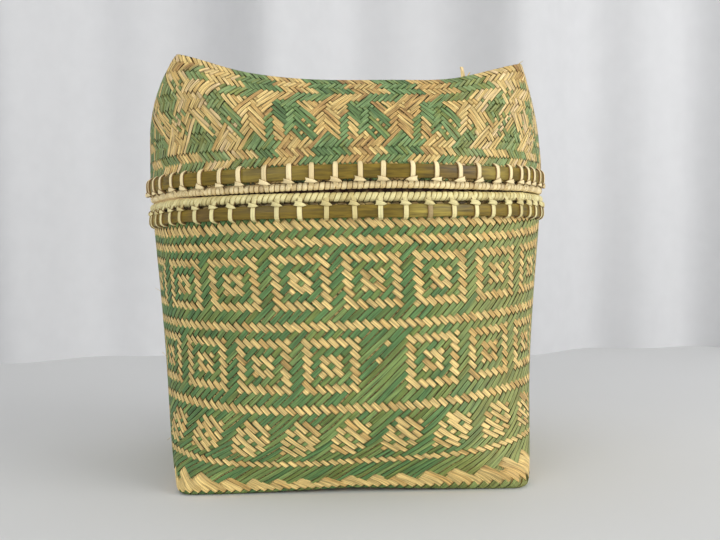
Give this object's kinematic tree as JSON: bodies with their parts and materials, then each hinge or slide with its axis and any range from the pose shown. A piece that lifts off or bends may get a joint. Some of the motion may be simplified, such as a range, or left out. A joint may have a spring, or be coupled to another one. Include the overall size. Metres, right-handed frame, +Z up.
{
  "type": "woven bamboo box",
  "caption": "Lidded woven bamboo basket box: square base, nearly round lashed rims, raised lid corners, and a lid that lifts off an inner lip.",
  "frame": {"origin": "on the table under the middle of the box", "axes": "+Z up out of the box, -Y towards the front of the picture, +X to its right"},
  "size_m": [0.22, 0.22, 0.2137],
  "materials": {
    "woven_box": "split bamboo strips, green dyed and natural, satin",
    "woven_lid": "split bamboo strips, green dyed and natural, satin",
    "plain_weave": "undyed split bamboo, satin",
    "split_bamboo": "split bamboo with its olive brown skin, satin",
    "rim_rod": "peeled rattan",
    "rattan_box": "pale rattan strip, satin",
    "rattan_lid": "warm cream rattan strip, satin"
  },
  "bodies": {
    "box": {"body_weave": "woven_box", "body_liner": "plain_weave", "body_outer_hoop": "split_bamboo", "body_inner_hoop": "split_bamboo", "body_rim_core": "rim_rod", "body_rim_binding": "rattan_box"},
    "lid": {"lid_weave": "woven_lid", "lid_liner": "plain_weave", "lid_outer_hoop": "split_bamboo", "lid_inner_hoop": "split_bamboo", "lid_rim_core": "rim_rod", "lid_rim_binding": "rattan_lid"}
  },
  "joints": [
    {"name": "lid_lift", "type": "slide", "parent": "box", "child": "lid", "axis": [0, 0, 1], "range_m": [0, 0.12]}
  ]
}
